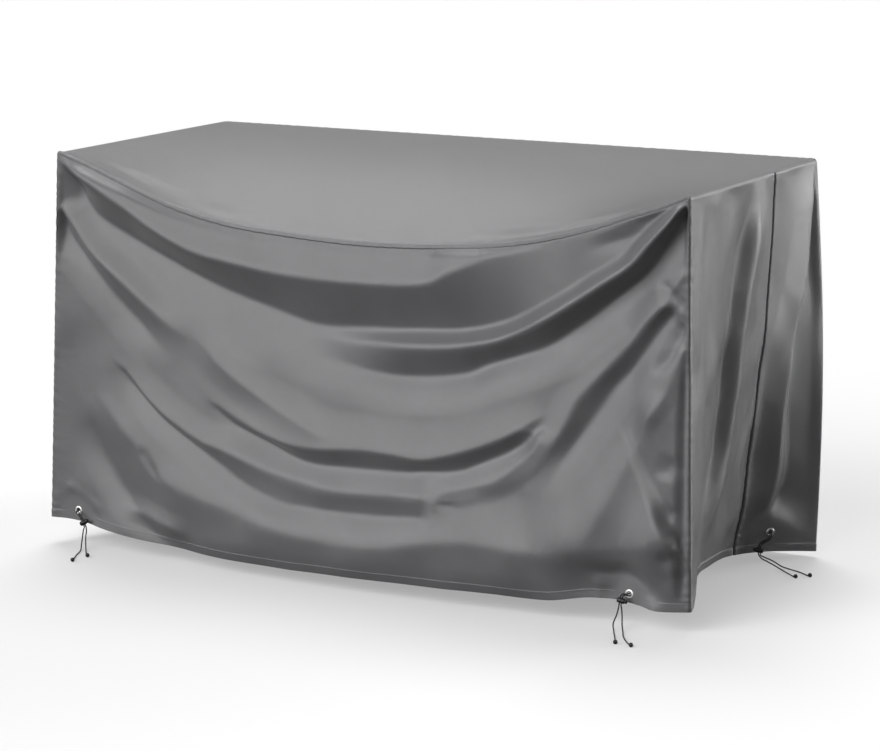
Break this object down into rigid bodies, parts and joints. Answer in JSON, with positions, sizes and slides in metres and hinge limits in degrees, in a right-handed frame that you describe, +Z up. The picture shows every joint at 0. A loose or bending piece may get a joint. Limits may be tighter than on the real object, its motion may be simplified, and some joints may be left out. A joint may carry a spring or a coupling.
{
  "type": "patio furniture cover",
  "caption": "Fitted rectangular weather cover for a patio sofa: flat top, sloping draped sides open underneath, and drawcord ties through eyelets at its hem.",
  "frame": {"origin": "middle of the covered furniture's top, just under the middle of the top cloth", "axes": "+Z up, +X along the cover's length, to the right as seen from its front, +Y from the front panel to the back"},
  "size_m": [1.7932, 0.8939, 0.9582],
  "materials": {
    "cloth": "coated polyester oxford weave, matt with a slight sheen",
    "nickel": "nickel plated brass, polished",
    "fittings": "black moulded plastic",
    "cord": "black braided cord"
  },
  "bodies": {
    "root": {"top_cloth": "cloth", "front_panel": "cloth", "back_cloth": "cloth", "eyelet_front_left": "nickel", "eyelet_front_right": "nickel", "eyelet_back_right": "nickel", "eyelet_back_left": "nickel", "lock_front_left": "fittings", "lock_front_right": "fittings", "lock_back_right": "fittings", "lock_back_left": "fittings", "cord_front_left_a": "cord", "bead_front_left_a": "fittings", "cord_front_left_b": "cord", "bead_front_left_b": "fittings", "cord_front_right_a": "cord", "bead_front_right_a": "fittings", "cord_front_right_b": "cord", "bead_front_right_b": "fittings", "cord_back_right_a": "cord", "bead_back_right_a": "fittings", "cord_back_right_b": "cord", "bead_back_right_b": "fittings", "cord_back_left_a": "cord", "bead_back_left_a": "fittings", "cord_back_left_b": "cord", "bead_back_left_b": "fittings"}
  },
  "joints": []
}
